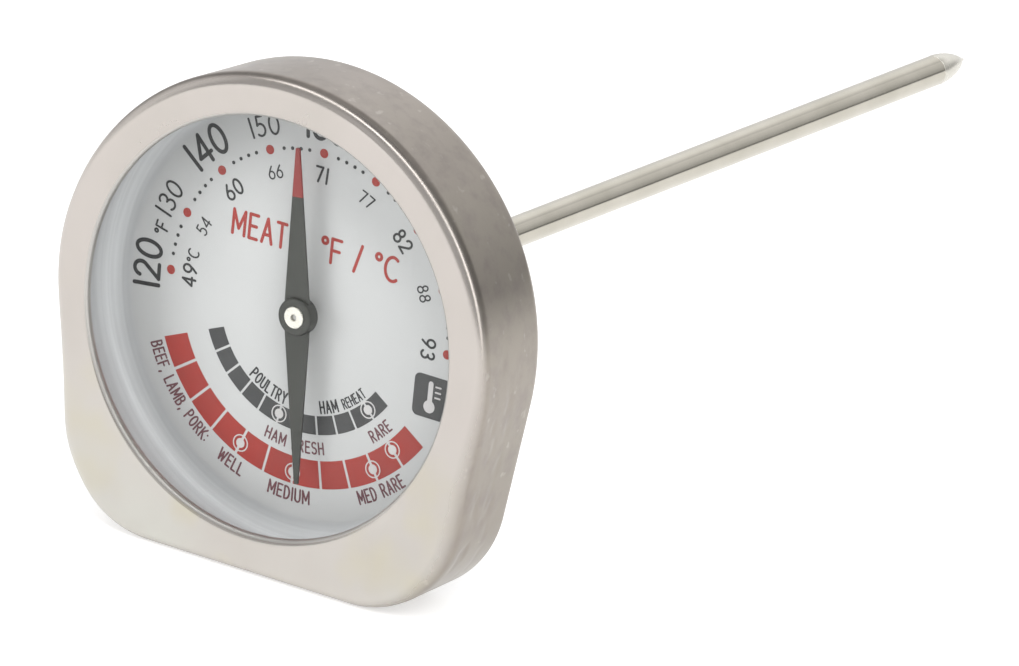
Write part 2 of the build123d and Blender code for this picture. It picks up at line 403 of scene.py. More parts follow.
def dial_paint():
    """Satin silver paint with a fine sparkle; the cup's wall, further out, is bare spun metal, coloured
    a little lighter than the paint partly as painted light for the brightness the wall catches.
    """
    n = new_material("dial_silver")
    sparkle = n.noise(5200, 2, 0.6)
    patches = n.noise(70, 3)
    paint = n.blend(n.span(patches, 0, 1), (0.53, 0.53, 0.53), (0.56, 0.56, 0.56))
    paint = n.blend(n.span(sparkle, 0, 0.25), paint, (0.465, 0.465, 0.465))

    place = n.axes(n.place()["Object"])
    flat = n.add("ShaderNodeCombineXYZ")
    n.feed(flat.inputs["X"], place["X"])
    n.feed(flat.inputs["Z"], place["Z"])
    length = n.add("ShaderNodeVectorMath", operation="LENGTH")
    n.feed(length.inputs[0], flat.outputs[0])
    radius = length.outputs["Value"]
    rings = n.add("ShaderNodeTexNoise", noise_dimensions="1D")
    n.feed(rings.inputs["Scale"], 2200)
    n.feed(rings.inputs["Detail"], 3)
    n.feed(rings.inputs["W"], radius)
    # bare spun metal, a little lighter than the paint: partly painted light for the brightness the
    # cup's wall catches
    spun = n.blend(n.span(rings.outputs["Fac"], 0, 1), (0.53, 0.535, 0.545), (0.60, 0.605, 0.615))

    bare = n.span(radius, 0, 1, 26.2 * MM, 26.9 * MM)
    colour = n.blend(bare, paint, spun)
    shine = n.maths("MULTIPLY", bare, 0.28)
    n.shade(colour, n.span(sparkle, 0.40, 0.50), shine, n.bump(sparkle, 1.5e-6))
    return n.owner


def ink(name, base, worn):
    """Screen-printed ink: slightly uneven, satin."""
    n = new_material(name)
    grains = n.noise(3800, 3, 0.6)
    patches = n.noise(260, 3)
    colour = n.blend(n.span(patches, 0, 1), base, worn)
    n.shade(colour, n.span(grains, 0.38, 0.55), 0.0, n.bump(grains, 1.5e-6))
    return n.owner


def clear_glass():
    """Clear lens that mirrors a little at each front surface and doesn't bend the view."""
    n = new_material("lens_glass")
    smear = n.noise((110, 110, 40), 4)
    fresnel = n.add("ShaderNodeFresnel")
    n.feed(fresnel.inputs["IOR"], 1.33)
    behind = n.add("ShaderNodeNewGeometry").outputs["Backfacing"]
    share = n.maths("MULTIPLY", fresnel.outputs["Fac"], n.maths("SUBTRACT", 1, behind))
    clear = n.add("ShaderNodeBsdfTransparent")
    n.feed(clear.inputs["Color"], (0.985, 0.99, 0.988))
    gloss = n.add("ShaderNodeBsdfGlossy")
    n.feed(gloss.inputs["Roughness"], n.span(smear, 0.02, 0.06))
    mix = n.add("ShaderNodeMixShader")
    n.feed(mix.inputs[0], share)
    n.feed(mix.inputs[1], clear.outputs[0])
    n.feed(mix.inputs[2], gloss.outputs[0])
    n.feed(n.out.inputs["Surface"], mix.outputs[0])
    return n.owner


CASE_OUTSIDE = case_steel()
CASE_INSIDE = steel("case_inside_steel", (0.55, 0.53, 0.50), (0.45, 0.44, 0.42), (0.36, 0.46),
                    (160, 1500, 160))
COVER_STEEL = steel("cover_steel", (0.64, 0.60, 0.57), (0.54, 0.51, 0.48), (0.26, 0.36),
                    (60, 60, 1400), cloud=80)
TUBE_STEEL = steel("tube_steel", (0.56, 0.53, 0.465), (0.48, 0.455, 0.39), (0.11, 0.17),
                   (1400, 40, 1400), cloud=140)
TIP_STEEL = steel("tip_steel", (0.70, 0.68, 0.62), (0.62, 0.60, 0.54), (0.24, 0.34),
                  (900, 900, 900), cloud=300)
FERRULE_STEEL = steel("ferrule_steel", (0.66, 0.63, 0.60), (0.54, 0.52, 0.50), (0.20, 0.30),
                      (200, 3200, 200))
WIRE_STEEL = steel("wire_steel", (0.56, 0.55, 0.54), (0.44, 0.43, 0.42), (0.25, 0.35),
                   (1800, 60, 1800))
BIMETAL = steel("bimetal_strip", (0.60, 0.53, 0.42), (0.48, 0.43, 0.36), (0.28, 0.40),
                (900, 900, 900))
NICKEL = steel("bushing_nickel", (0.86, 0.83, 0.76), (0.78, 0.75, 0.68), (0.22, 0.32),
               (1200, 1200, 1200), cloud=500)
DIAL_PAINT = dial_paint()
DARK_INK = ink("dial_dark_ink", (0.018, 0.018, 0.019), (0.028, 0.028, 0.029))
GREY_INK = ink("dial_grey_ink", (0.044, 0.044, 0.045), (0.056, 0.056, 0.057))
WORD_INK = ink("dial_word_ink", (0.12, 0.042, 0.052), (0.155, 0.055, 0.066))
RED_INK = ink("dial_red_ink", (0.36, 0.030, 0.021), (0.32, 0.034, 0.025))
LIGHT_INK = ink("dial_light_ink", (0.60, 0.58, 0.575), (0.55, 0.53, 0.53))
POINTER_BLACK = plain("pointer_black", (0.040, 0.041, 0.035), (0.031, 0.032, 0.027), (0.36, 0.5))
POINTER_RED = plain("pointer_red", (0.27, 0.030, 0.026), (0.23, 0.027, 0.023), (0.36, 0.5))
RUBBER = plain("seal_rubber", (0.20, 0.19, 0.18), (0.14, 0.135, 0.13), (0.62, 0.78), depth=1e-5)
SPACER = plain("spacer_plastic", (0.10, 0.10, 0.10), (0.07, 0.07, 0.07), (0.5, 0.62))
BEARING = plain("bearing_plastic", (0.80, 0.77, 0.70), (0.72, 0.69, 0.62), (0.42, 0.55))
GLASS = clear_glass()


# ---- case ---------------------------------------------------------------------------------
def smooth(value, low, high):
    """0 below low, 1 above high, and a soft step between."""
    t = np.clip((value - low) / (high - low), 0, 1)
    return t * t * (3 - 2 * t)


def outline(top_r):
    """Outline of the case with its outward normals, anticlockwise from the right-hand side."""
    across = np.array([math.cos(SIDE_SLOPE), -math.sin(SIDE_SLOPE)])
    down = np.array([-math.sin(SIDE_SLOPE), -math.cos(SIDE_SLOPE)])
    side = across * top_r
    centre_z = CORNER_R - FOOT_DROP
    along = (centre_z - side[1] + across[1] * CORNER_R) / down[1]
    lower = side + down * along
    centre = lower - across * CORNER_R
    mirror = np.array([-1, 1])
    foot = np.array([centre[0], -FOOT_DROP])
    points, normals = [], []

    def arc_run(cx, cz, radius, start, end, steps):
        for a in np.linspace(start, end, steps + 1):
            normal = np.array([math.cos(a), math.sin(a)])
            points.append(np.array([cx, cz]) + normal * radius)
            normals.append(normal)

    def straight_run(start, end, normal, steps):
        for t in np.linspace(0, 1, steps + 1)[1:-1]:
            points.append(start + (end - start) * t)
            normals.append(normal)

    arc_run(0, 0, top_r, -SIDE_SLOPE, math.pi + SIDE_SLOPE, 280)
    straight_run(side * mirror, lower * mirror, across * mirror, 44)
    arc_run(-centre[0], centre_z, CORNER_R, math.pi + SIDE_SLOPE, 1.5 * math.pi, 60)
    straight_run(foot * mirror, foot, np.array([0, -1]), 50)
    arc_run(centre[0], centre_z, CORNER_R, -math.pi / 2, -SIDE_SLOPE, 60)
    straight_run(lower, side, across, 44)
    return np.array(points), np.array(normals)


def case_rings():
    """Closed cross-section of the shell, as (zone, points around, depths) rings."""
    front, normals = outline(CASE_R_FRONT)
    back = outline(CASE_R_BACK)[0]
    low = smooth(-front[:, 1], -8, 16)
    flat = smooth(-normals[:, 1], 0.55, 1)
    fillet = FACE_ROUND + (LOW_ROUND - FACE_ROUND) * low + (FOOT_ROUND - LOW_ROUND) * flat * low
    wall_front = FACE + fillet
    wall_back = CASE_END - REAR_ROUND
    rings = []

    def place(inset, depth):
        """Points on the outline, moved in from the wall, at a depth."""
        share = ((depth - FACE) / (CASE_END - FACE) + np.zeros(len(front)))[:, None]
        inset = (inset + np.zeros(len(front)))[:, None]
        return front + (back - front) * share - normals * inset

    def add(zone, points, depth):
        rings.append((zone, points, depth + np.zeros(len(front))))

    def add_inset(zone, inset, depth):
        add(zone, place(inset, depth), depth)

    # every ring has a point on the same ray from the axis as the face's outer edge has
    edge = place(fillet, FACE)
    angle = np.arctan2(edge[:, 1], edge[:, 0])
    circle = np.column_stack([np.cos(angle), np.sin(angle)])

    # window: straight wall, then the lip's roll, whose inner part is as bright as the inside
    add("inside", circle * WINDOW_R, LIP_END)
    add("inside", circle * WINDOW_R, LIP_WALL)
    for a in np.radians(np.linspace(0, 90, 10)):
        radius = WINDOW_R + LIP_ROLL * (1 - math.cos(a))
        add("inside" if a < 0.9 else "face", circle * radius, FACE + LIP_FALL * (1 - math.sin(a)))

    # face, front fillet, side wall and rolled rear edge
    inner = circle * (WINDOW_R + LIP_ROLL)
    for t in (0.02, 0.12, 0.35, 0.55, 0.75, 0.9, 0.98):
        add("face", inner * (1 - t) + edge * t, FACE)
    for a in np.radians(np.linspace(0, 90, 19)):
        zone = "face" if a < 1.05 else "side"
        add_inset(zone, fillet * (1 - math.sin(a)), FACE + fillet * (1 - math.cos(a)))
    for t in np.linspace(0, 1, 27)[1:-1]:
        add_inset("side", 0, wall_front + t * (wall_back - wall_front))
    for a in np.radians(np.linspace(0, 90, 12)):
        add_inset("side", REAR_ROUND * (1 - math.cos(a)), wall_back + REAR_ROUND * math.sin(a))
    for inset, depth in ((0.15, 0), (0.04, 0.04), (0, 0.15)):
        add_inset("side", REAR_LIP - inset, CASE_END - depth)

    # and back along the inside
    add_inset("inside", REAR_LIP, CASE_END - SHEET)
    rear_curve = REAR_ROUND - SHEET
    for a in np.radians(np.linspace(0, 90, 6)):
        add_inset("inside", REAR_ROUND - rear_curve * math.sin(a), wall_back + rear_curve * math.cos(a))
    front_curve = fillet - SHEET
    for a in np.radians(np.linspace(0, 90, 8)):
        add_inset("inside", fillet - front_curve * math.cos(a), wall_front - front_curve * math.sin(a))
    add("inside", circle * (WINDOW_R + SHEET), FACE + SHEET)
    add("inside", circle * (WINDOW_R + SHEET), LIP_END)
    return rings


def dent(x, depth, z):
    """How far handling marks push the wall in, in millimetres: shallow, low down, near the front."""
    where = smooth(-z, -8, 6) * smooth(-abs(depth - 5), -6, -1)
    if where <= 0:
        return 0
    place = Vector((x * 0.12, depth * 0.5, z * 0.24))
    lumps = noise.noise(place) + 0.6 * noise.noise(place * 2.3)
    return DENT_DEPTH * where * max(lumps, 0)


def make_case():
    """Drawn shell: window lip, face, fillet, wall and rolled rear edge, in one closed mesh."""
    rings = case_rings()
    count = len(rings[0][1])
    points, faces, zones = [], [], []
    for zone, ring, depths in rings:
        for (x, z), depth in zip(ring, depths):
            if zone == "side" and depth < CASE_END - REAR_ROUND:
                push = dent(x, depth, z)
                away = math.hypot(x, z)
                x -= x / away * push
                z -= z / away * push
            points.append((x, depth, z))
    for i in range(len(rings)):
        j = (i + 1) % len(rings)
        for k in range(count):
            n = (k + 1) % count
            faces.append((i * count + k, i * count + n, j * count + n, j * count + k))
            zones.append(1 if rings[j][0] == "inside" else 0)
    mats = [CASE_OUTSIDE, CASE_INSIDE]
    case = link("case_shell", points, faces, mats, "case", ["front_bezel"], zones)
    return outward(case)


make_case()


# ---- lens and dial ------------------------------------------------------------------------
def make_lens():
    """Flat disc with eased edges."""
    corners = [
        (0, LENS_FRONT, 0),
        (LENS_R, LENS_FRONT, LENS_BEVEL),
        (LENS_R, LENS_BACK, LENS_BEVEL),
        (0, LENS_BACK, 0),
    ]
    points, faces = lathe(rounded(corners, 4), closed=False)
    return outward(link("glass_lens", points, faces, [GLASS], "case", ["lens"]))


def make_dial():
    """Spun cup with a rounded wall and a rolled rim."""
    floor_back = DIAL_FRONT + DIAL_SHEET
    rim_back = DIAL_RIM + DIAL_SHEET
    rim_r = DIAL_WALL_R + DIAL_FLARE
    corners = [
        (DIAL_HOLE_R, DIAL_FRONT, 0.1),
        (DIAL_WALL_R, DIAL_FRONT, 3.8),
        (rim_r, DIAL_RIM, 0.35),
        (DIAL_RIM_R, DIAL_RIM, 0.1),
        (DIAL_RIM_R, rim_back, 0.1),
        (rim_r + DIAL_SHEET, rim_back, 0),
        (DIAL_WALL_R + DIAL_SHEET, floor_back, 4.3),
        (DIAL_HOLE_R, floor_back, 0.1),
    ]
    points, faces = lathe(rounded(corners, 14))
    return outward(link("dial_cup", points, faces, [DIAL_PAINT], "case", ["dial"]))


make_lens()
make_dial()


# ---- lettering drawn with strokes ---------------------------------------------------------
def arc(cx, cy, rx, ry, start, end, steps=16):
    """Points on part of an ellipse, between two angles in degrees."""
    angles = np.radians(np.linspace(start, end, steps + 1))
    return [(cx + rx * math.cos(a), cy + ry * math.sin(a)) for a in angles]


# each glyph: its width, then its strokes, as parts of the letter's height
GLYPHS = {
    "0": (0.54, [arc(0.27, 0.5, 0.27, 0.5, 0, 360, 30)]),
    "1": (0.06, [[(0.03, 0), (0.03, 1)]]),
    "2": (0.50, [arc(0.25, 0.73, 0.24, 0.27, 170, -30) + [(0, 0)], [(0, 0), (0.5, 0)]]),
    "3": (0.48, [arc(0.22, 0.76, 0.22, 0.24, 150, -90), arc(0.22, 0.26, 0.25, 0.26, 90, -145)]),
    "4": (0.56, [[(0.42, 0), (0.42, 1)], [(0.42, 1), (0, 0.28)], [(0, 0.28), (0.56, 0.28)]]),
    "5": (0.48, [[(0.42, 1), (0.1, 1)], [(0.1, 1), (0.06, 0.55)],
                 [(0.06, 0.55)] + arc(0.21, 0.31, 0.26, 0.31, 105, -135)]),
    "6": (0.52, [arc(0.26, 0.3, 0.26, 0.3, 0, 360, 24), [(0.4, 1), (0.2, 0.74), (0.04, 0.44)]]),
    "7": (0.50, [[(0, 1), (0.5, 1)], [(0.5, 1), (0.16, 0)]]),
    "8": (0.50, [arc(0.25, 0.76, 0.2, 0.24, 0, 360, 24), arc(0.25, 0.26, 0.25, 0.26, 0, 360, 24)]),
    "9": (0.52, [arc(0.26, 0.7, 0.26, 0.3, 0, 360, 24), [(0.12, 0), (0.32, 0.26), (0.48, 0.56)]]),
    "°": (0.26, [arc(0.13, 0.85, 0.12, 0.13, 0, 360, 16)]),
    "A": (0.52, [[(0, 0), (0.26, 1)], [(0.26, 1), (0.52, 0)], [(0.1, 0.33), (0.42, 0.33)]]),
    "B": (0.46, [[(0, 0), (0, 1)], [(0, 1)] + arc(0.18, 0.77, 0.22, 0.23, 90, -90) + [(0, 0.54)],
                 [(0, 0.54)] + arc(0.2, 0.27, 0.25, 0.27, 90, -90) + [(0, 0)]]),
    "C": (0.50, [arc(0.34, 0.5, 0.34, 0.5, 55, 305, 20)]),
    "D": (0.48, [[(0, 0), (0, 1)], [(0, 1)] + arc(0.14, 0.5, 0.34, 0.5, 90, -90) + [(0, 0)]]),
    "E": (0.42, [[(0, 0), (0, 1)], [(0, 1), (0.42, 1)], [(0, 0.52), (0.36, 0.52)],
                 [(0, 0), (0.42, 0)]]),
    "F": (0.42, [[(0, 0), (0, 1)], [(0, 1), (0.42, 1)], [(0, 0.52), (0.36, 0.52)]]),
    "H": (0.48, [[(0, 0), (0, 1)], [(0.48, 0), (0.48, 1)], [(0, 0.52), (0.48, 0.52)]]),
    "I": (0.04, [[(0.02, 0), (0.02, 1)]]),
    "K": (0.48, [[(0, 0), (0, 1)], [(0, 0.38), (0.46, 1)], [(0.14, 0.56), (0.48, 0)]]),
    "L": (0.40, [[(0, 0), (0, 1)], [(0, 0), (0.4, 0)]]),
    "M": (0.62, [[(0, 0), (0, 1)], [(0, 1), (0.31, 0.25)], [(0.31, 0.25), (0.62, 1)],
                 [(0.62, 1), (0.62, 0)]]),
    "O": (0.52, [arc(0.26, 0.5, 0.26, 0.5, 0, 360, 24)]),
    "P": (0.46, [[(0, 0), (0, 1)], [(0, 1)] + arc(0.2, 0.74, 0.24, 0.26, 90, -90) + [(0, 0.48)]]),
    "R": (0.48, [[(0, 0), (0, 1)], [(0, 1)] + arc(0.2, 0.75, 0.24, 0.25, 90, -90) + [(0, 0.5)],
                 [(0.22, 0.5), (0.48, 0)]]),
    "S": (0.46, [arc(0.23, 0.76, 0.22, 0.24, 40, 240) + arc(0.22, 0.26, 0.24, 0.26, 60, -145)]),
    "T": (0.48, [[(0.24, 0), (0.24, 1)], [(0, 1), (0.48, 1)]]),
    "U": (0.48, [[(0, 1)] + arc(0.24, 0.27, 0.24, 0.27, 180, 360) + [(0.48, 1)]]),
    "W": (0.72, [[(0, 1), (0.18, 0)], [(0.18, 0), (0.36, 0.8)], [(0.36, 0.8), (0.54, 0)],
                 [(0.54, 0), (0.72, 1)]]),
    "Y": (0.50, [[(0, 1), (0.25, 0.45)], [(0.5, 1), (0.25, 0.45)], [(0.25, 0.45), (0.25, 0)]]),
    ",": (0.08, [[(0.06, 0.04), (0.0, -0.16)]]),
    ":": (0.05, [[(0.02, 0.14), (0.02, 0.16)], [(0.02, 0.66), (0.02, 0.68)]]),
    "/": (0.30, [[(0, -0.06), (0.3, 1.06)]]),
    " ": (0.26, []),
}


class Print:
    """One colour of printing: thin closed shapes lying on the dial's floor."""

    def __init__(self, lift=0.0):
        self.points = []
        self.faces = []
        self.base = DIAL_FRONT - INK_GAP - lift
        self.layer = 0

    def next_top(self):
        """Depth of the next shape's top, so that crossing shapes don't share a plane."""
        self.layer = (self.layer + 1) % INK_LAYERS
        return self.base - INK - self.layer * INK_LAYER

    def slab(self, rim):
        """Closed slab over a convex outline of (x, z) points."""
        top = self.next_top()
        first = len(self.points)
        count = len(rim)
        self.points += [(x, top, z) for x, z in rim] + [(x, self.base, z) for x, z in rim]
        self.faces.append(list(range(first, first + count)))
        self.faces.append(list(range(first + 2 * count - 1, first + count - 1, -1)))
        for k in range(count):
            n = (k + 1) % count
            self.faces.append([first + k, first + count + k, first + count + n, first + n])

    def strip(self, left, right):
        """Closed slab between two lines of (x, z) points, made of quads; the lines may be loops."""
        loop = math.dist(left[0], left[-1]) < 1e-6
        if loop:
            left, right = left[:-1], right[:-1]
        first = len(self.points)
        count = len(left)
        low = 2 * count
        for depth in (self.next_top(), self.base):
            self.points += [(x, depth, z) for x, z in left] + [(x, depth, z) for x, z in right]
        for k in range(count if loop else count - 1):
            n = (k + 1) % count
            a, b = first + k, first + count + k
            a_next, b_next = first + n, first + count + n
            self.faces += [[a, a_next, b_next, b], [a + low, b + low, b_next + low, a_next + low]]
            self.faces += [[a, a + low, a_next + low, a_next], [b, b_next, b_next + low, b + low]]
        if not loop:
            for a in (first, first + count - 1):
                self.faces.append([a, a + count, a + count + low, a + low])

    def dot(self, x, z, radius, steps=24):
        self.slab([(x + radius * c, z + radius * s) for c, s in unit_circle(steps)])

    def ring(self, x, z, inner, outer):
        turns = unit_circle(32)
        turns.append(turns[0])
        sides = [[(x + radius * c, z + radius * s) for c, s in turns] for radius in (outer, inner)]
        self.strip(*sides)

    def stroke(self, line, width):
        """A line of even width with round ends."""
        pts = np.array(line, float)
        half = width / 2
        steps = np.diff(pts, axis=0)
        steps /= np.linalg.norm(steps, axis=1)[:, None]
        loop = np.linalg.norm(pts[0] - pts[-1]) < 1e-6
        before = np.vstack([steps[-1:] if loop else steps[:1], steps])
        after = np.vstack([steps, steps[:1] if loop else steps[-1:]])
        mean = before + after
        mean /= np.linalg.norm(mean, axis=1)[:, None]
        side = np.column_stack([-mean[:, 1], mean[:, 0]])
        widen = 1 / np.clip((mean * after).sum(1), 0.6, 1)
        lefts = list(pts + side * (half * widen)[:, None])
        rights = list(pts - side * (half * widen)[:, None])
        if loop:
            self.strip(lefts, rights)
            return
        for end, way in ((0, -1), (-1, 1)):
            caps = []
            for a in np.radians(np.linspace(8, 82, 5)):
                middle = pts[end] + way * steps[end] * half * math.sin(a)
                reach = side[end] * half * math.cos(a)
                caps.append((middle + reach, middle - reach))
            if way < 0:
                caps.reverse()
                lefts = [cap[0] for cap in caps] + lefts
                rights = [cap[1] for cap in caps] + rights
            else:
                lefts += [cap[0] for cap in caps]
                rights += [cap[1] for cap in caps]
        self.strip(lefts, rights)

    def word(self, text, radius, angle, height, weight, squeeze=1.0, gap=0.2, tops_out=True):
        """Text whose baseline follows a circle, its middle at an angle in degrees."""
        body = height - weight
        widths = [GLYPHS[char][0] * body * squeeze for char in text]
        room = gap * height + weight
        middle_r = radius + (height / 2 if tops_out else -height / 2)
        way = -1 if tops_out else 1
        at = -(sum(widths) + room * (len(text) - 1)) / 2
        for char, width in zip(text, widths):
            a = math.radians(angle) + way * (at + width / 2) / middle_r
            out = np.array([math.cos(a), math.sin(a)])
            across = np.array([-out[1], out[0]]) * way
            up = -way * out
            corner = out * radius + up * (weight / 2) - across * (width / 2)
            for line in GLYPHS[char][1]:
                placed = [corner + across * (x * body * squeeze) + up * (y * body) for x, y in line]
                self.stroke(placed, weight)
            at += width + room

    def level(self, text, x, z, height, weight, squeeze=1.0, gap=0.2):
        """Upright text from its lower left corner."""
        body = height - weight
        base = z + weight / 2
        for char in text:
            width, lines = GLYPHS[char]
            for line in lines:
                self.stroke([(x + px * body * squeeze, base + py * body) for px, py in line], weight)
            x += width * body * squeeze + gap * height + weight

    def band(self, radii, gap):
        """Ring sector cut into cells by narrow gaps."""
        step = (BAND_ENDS[1] - BAND_ENDS[0]) / BAND_CELLS
        for k in range(BAND_CELLS):
            start = BAND_ENDS[0] + k * step
            sides = []
            for r in (radii[1], radii[0]):
                trim = math.degrees(gap / 2 / r)
                sides.append(arc(0, 0, r, r, start + trim, start + step - trim, 8))
            self.strip(*sides)

    def finish(self, name, mat):
        return outward(link(name, self.points, self.faces, [mat], "case", sharp=25))


def unit_circle(steps):
    angles = [2 * math.pi * k / steps for k in range(steps)]
    return [(math.cos(a), math.sin(a)) for a in angles]


def dial_angle(fahrenheit):
    return 90 - (fahrenheit - 160) * DEGREES_PER_F


def polar(radius, degrees):
    return radius * math.cos(math.radians(degrees)), radius * math.sin(math.radians(degrees))


def print_scale():
    """A red dot and numerals each 10 degrees: Fahrenheit outside the dots, Celsius inside.

    Returns the red printing, which the other prints add to."""
    dark = Print()
    red = Print()
    for reading in range(120, 201, 10):
        red.dot(*polar(DOT_R, dial_angle(reading)), 0.6)
        if reading < 200:
            for part in SMALL_DOTS:
                dark.dot(*polar(DOT_R, dial_angle(reading + 10 * part)), 0.24, 14)
    for reading in range(120, 201, 10):
        angle = dial_angle(reading)
        celsius = str(round((reading - 32) / 1.8))
        if reading % 20:
            dark.word(str(reading), 22.3, angle, 2.75, 0.3, 1.05, 0.16)
            dark.word(celsius, 16.9, angle, 1.75, 0.2, 1.0, 0.12)
        else:
            dark.word(str(reading), 22.1, angle, 4.15, 0.52, 1.0, 0.08)
            dark.word(celsius, 16.75, angle, 2.2, 0.3, 1.0, 0.13)
    dark.word("°F", 22.1, dial_angle(125.4), 2.0, 0.26, 1.0, 0.05)
    dark.word("°C", 16.9, dial_angle(123.6), 1.75, 0.22, 1.0, 0.05)
    dark.finish("dial_print_scale", DARK_INK)
    return red


# words whose tops point to the axis: text, baseline's radius, angle, height, stroke, width, gap
MEATS = (
    ("POULTRY", 12.9, -113, 1.7, 0.23, 0.78, 0.05),
    ("HAM", 12.9, -69, 1.7, 0.23, 0.8, 0.06),
    ("REHEAT", 12.85, -50, 1.4, 0.18, 0.72, 0.04),
)
DONENESS = (
    ("BEEF, LAMB, PORK:", 24.75, -139.5, 1.85, 0.24, 0.78, 0.06),
    ("WELL", 24.85, -112.5, 1.85, 0.25, 0.85, 0.07),
    ("MEDIUM", 24.7, -90.6, 1.85, 0.25, 0.92, 0.09),
    ("MED RARE", 24.7, -56.5, 1.85, 0.25, 0.8, 0.06),
    ("HAM FRESH", 18.1, -90.5, 1.65, 0.22, 0.95, 0.09),
    ("RARE", 18.1, -45.5, 1.65, 0.22, 0.85, 0.07),
)
# round markers on the bands: radius and angle
MARKS = ((20.9, -112.5), (20.9, -90), (20.9, -56.25), (20.0, -45), (14.3, -101.25), (14.2, -45))


def print_words(rows, name, mat):
    words = Print()
    for row in rows:
        words.word(*row, tops_out=False)
    words.finish(name, mat)


def print_doneness(red):
    """Two broken bands with round markers and the words beside them."""
    red.band(RED_BAND, 0.36)
    grey = Print()
    grey.band(DARK_BAND, 0.3)
    grey.finish("dial_print_band", GREY_INK)
    print_words(MEATS, "dial_print_meats", DARK_INK)
    print_words(DONENESS, "dial_print_words", WORD_INK)
    marks = Print(INK_LIFT)
    for radius, angle in MARKS:
        x, z = polar(radius, angle)
        marks.dot(x, z, 0.62)
        marks.ring(x, z, 0.96, 1.12)
    marks.finish("dial_print_marks", LIGHT_INK)


BADGE_AT = (19.1, -6.0)
BADGE_HALF = 2.75
BADGE_CORNER = 0.8


def print_middle(red):
    """A plain word, the unit signs and a small square with a thermometer sign."""
    red.level("MEAT", -12.2, 6.9, 3.5, 0.42, 0.9, 0.09)
    red.level("°F / °C", 1.0, 6.9, 3.5, 0.42, 1.05, 0.06)
    red.finish("dial_print_red", RED_INK)

    x, z = BADGE_AT
    reach = BADGE_HALF - BADGE_CORNER
    rim = []
    for quarter, (right, up) in enumerate(((1, 1), (-1, 1), (-1, -1), (1, -1))):
        start = 90 * quarter
        rim += arc(x + right * reach, z + up * reach, BADGE_CORNER, BADGE_CORNER, start, start + 90, 6)
    badge = Print()
    badge.slab(rim)
    badge.finish("dial_badge", GREY_INK)

    sign = Print(INK_LIFT)
    sign.dot(x - 0.3, z - 1.25, 0.82)
    sign.stroke([(x - 0.3, z - 1.25), (x - 0.3, z + 1.7)], 0.7)
    for k in range(3):
        tick_z = z + 0.1 + k * 0.7
        sign.stroke([(x + 0.45, tick_z), (x + 1.15, tick_z)], 0.22)
    sign.finish("dial_badge_sign", LIGHT_INK)


RED_PRINT = print_scale()
print_doneness(RED_PRINT)
print_middle(RED_PRINT)


# ---- pointer ------------------------------------------------------------------------------
def arm_ring(half):
    """Cross-section of an arm, with softened edges, as (across, depth) points."""
    return [
        (half, BLADE_FRONT + BLADE_SOFT),
        (half - BLADE_SOFT, BLADE_FRONT),
        (-half + BLADE_SOFT, BLADE_FRONT),
        (-half, BLADE_FRONT + BLADE_SOFT),
        (-half, BLADE_BACK - BLADE_SOFT),
        (-half + BLADE_SOFT, BLADE_BACK),
        (half - BLADE_SOFT, BLADE_BACK),
        (half, BLADE_BACK - BLADE_SOFT),
    ]


def make_arm(name, way, stations):
    """One tapering arm through rings at some distances from the axis; the upper one ends in red."""
    turn = math.radians(dial_angle(REST_READING_F))
    out = np.array([math.cos(turn), math.sin(turn)]) * way
    side = np.array([-out[1], out[0]])
    points, faces, paints = [], [], []
    for i, r in enumerate(stations):
        half = BLADE_ROOT + (BLADE_END - BLADE_ROOT) * r / BLADE_REACH
        if r == BLADE_REACH:
            half -= BLADE_SOFT
        for across, depth in arm_ring(half):
            x, z = out * r + side * across
            points.append((x, depth, z))
        if i:
            first = (i - 1) * 8
            for k in range(8):
                n = (k + 1) % 8
                faces.append((first + k, first + n, first + 8 + n, first + 8 + k))
                paints.append(1 if way > 0 and r > RED_FROM else 0)
    faces += [tuple(range(8)), tuple(range(len(points) - 8, len(points)))]
    paints += [0, 1 if way > 0 else 0]
    mats = [POINTER_BLACK, POINTER_RED]
    arm = link(name, points, faces, mats, "pointer_shaft", ["pointer"], paints)
    return outward(arm)


def make_hub():
    """Thick round hub between the arms."""
    corners = [
        (HUB_BORE_R, HUB_FRONT, 0.06),
        (HUB_R, HUB_FRONT, 0.3),
        (HUB_R, HUB_BACK, 0.15),
        (HUB_BORE_R, HUB_BACK, 0.05),
    ]
    points, faces = lathe(rounded(corners, 6), 96)
    mats = [POINTER_BLACK]
    hub = link("needle_hub", points, faces, mats, "pointer_shaft", ["pointer"])
    return outward(hub)


BLADE_CAP = BLADE_REACH - BLADE_SOFT
make_arm("needle_long_arm", 1, (BLADE_START, 6, RED_FROM, BLADE_CAP, BLADE_REACH))
make_arm("needle_tail", -1, (BLADE_START, 6, 12, BLADE_CAP, BLADE_REACH))
make_hub()


# ---- stem ---------------------------------------------------------------------------------
def make_tube():
    """Thin tube, slightly reduced where the ferrule holds it."""
    corners = [
        (STEM_BORE_R, STEM_FRONT, 0),
        (STEM_SEAT_R, STEM_FRONT, 0.05),
        (STEM_SEAT_R, STEM_BARE - 0.1, 0),
        (STEM_R, STEM_BARE, 0.03),
        (STEM_R, STEM_SHOULDER, 0.05),
        (STEM_BORE_R, STEM_SHOULDER, 0),
    ]
    points, faces = lathe(rounded(corners, 4), 96)
    return outward(link("probe_tube", points, faces, [TUBE_STEEL], "case", ["stem_tube"]))


